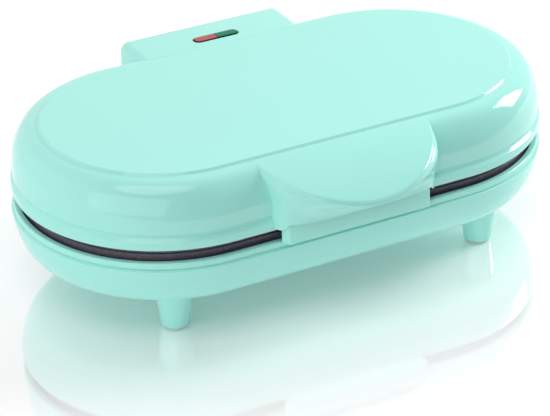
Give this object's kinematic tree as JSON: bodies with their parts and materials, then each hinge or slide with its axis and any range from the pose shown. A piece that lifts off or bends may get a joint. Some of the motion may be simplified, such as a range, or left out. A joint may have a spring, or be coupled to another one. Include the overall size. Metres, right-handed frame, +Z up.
{
  "type": "heart waffle maker",
  "caption": "Waffle maker with a long round-ended body on short legs, a hinged lid with a hood-shaped handle in front, a rear block with an indicator lens, and heart rosette plates.",
  "frame": {"origin": "on the table, under the middle of the whole outline from the handle's front to the hinge's back", "axes": "+X along the long body, to the right seen from the front; +Y to the hinge at the back; +Z up"},
  "size_m": [0.2732, 0.1882, 0.0826],
  "materials": {
    "mint_plastic": "smooth glossy pale mint plastic",
    "coated_plate": "dark non-stick coating on cast aluminium",
    "steel": "plain steel",
    "sheet_steel": "bright sheet steel",
    "black_plastic": "matte black heat-resisting plastic",
    "ceramic": "off-white insulating block",
    "rubber": "soft matte rubber",
    "red_lens": "clear red plastic",
    "green_lens": "clear green plastic",
    "lamp_glass": "glass neon lamp"
  },
  "bodies": {
    "base": {"base_shell": "mint_plastic", "lower_plate": "coated_plate", "lower_heating_element": "steel", "lower_heat_shield": "sheet_steel", "lower_plate_screw_1": "steel", "lower_plate_screw_2": "steel", "thermostat": "black_plastic", "thermal_fuse": "steel", "terminal_block": "ceramic", "terminal_block_screw": "steel", "terminal_screw_1": "steel", "terminal_screw_2": "steel", "cord_bush": "black_plastic", "cord_clamp": "black_plastic", "cord_clamp_screw_1": "steel", "cord_clamp_screw_2": "steel", "wiring_cover": "mint_plastic", "wiring_cover_screw_1": "steel", "wiring_cover_screw_2": "steel", "hinge_pin_left": "steel", "hinge_pin_right": "steel", "foot_pad_1": "rubber", "foot_pad_2": "rubber", "foot_pad_3": "rubber", "foot_pad_4": "rubber"},
    "lid": {"lid_shell": "mint_plastic", "upper_plate": "coated_plate", "upper_heating_element": "steel", "upper_heat_shield": "sheet_steel", "upper_plate_screw_1": "steel", "upper_plate_screw_2": "steel", "power_lens": "red_lens", "ready_lens": "green_lens", "lamp_holder": "black_plastic", "lamp_holder_screw_1": "steel", "lamp_holder_screw_2": "steel", "power_lamp": "lamp_glass", "ready_lamp": "lamp_glass"}
  },
  "joints": [
    {"name": "lid_hinge", "type": "hinge", "parent": "base", "child": "lid", "pos_m": [0, 0.0881, 0.0455], "axis": [-1, 0, 0], "range_deg": [0, 95]}
  ]
}
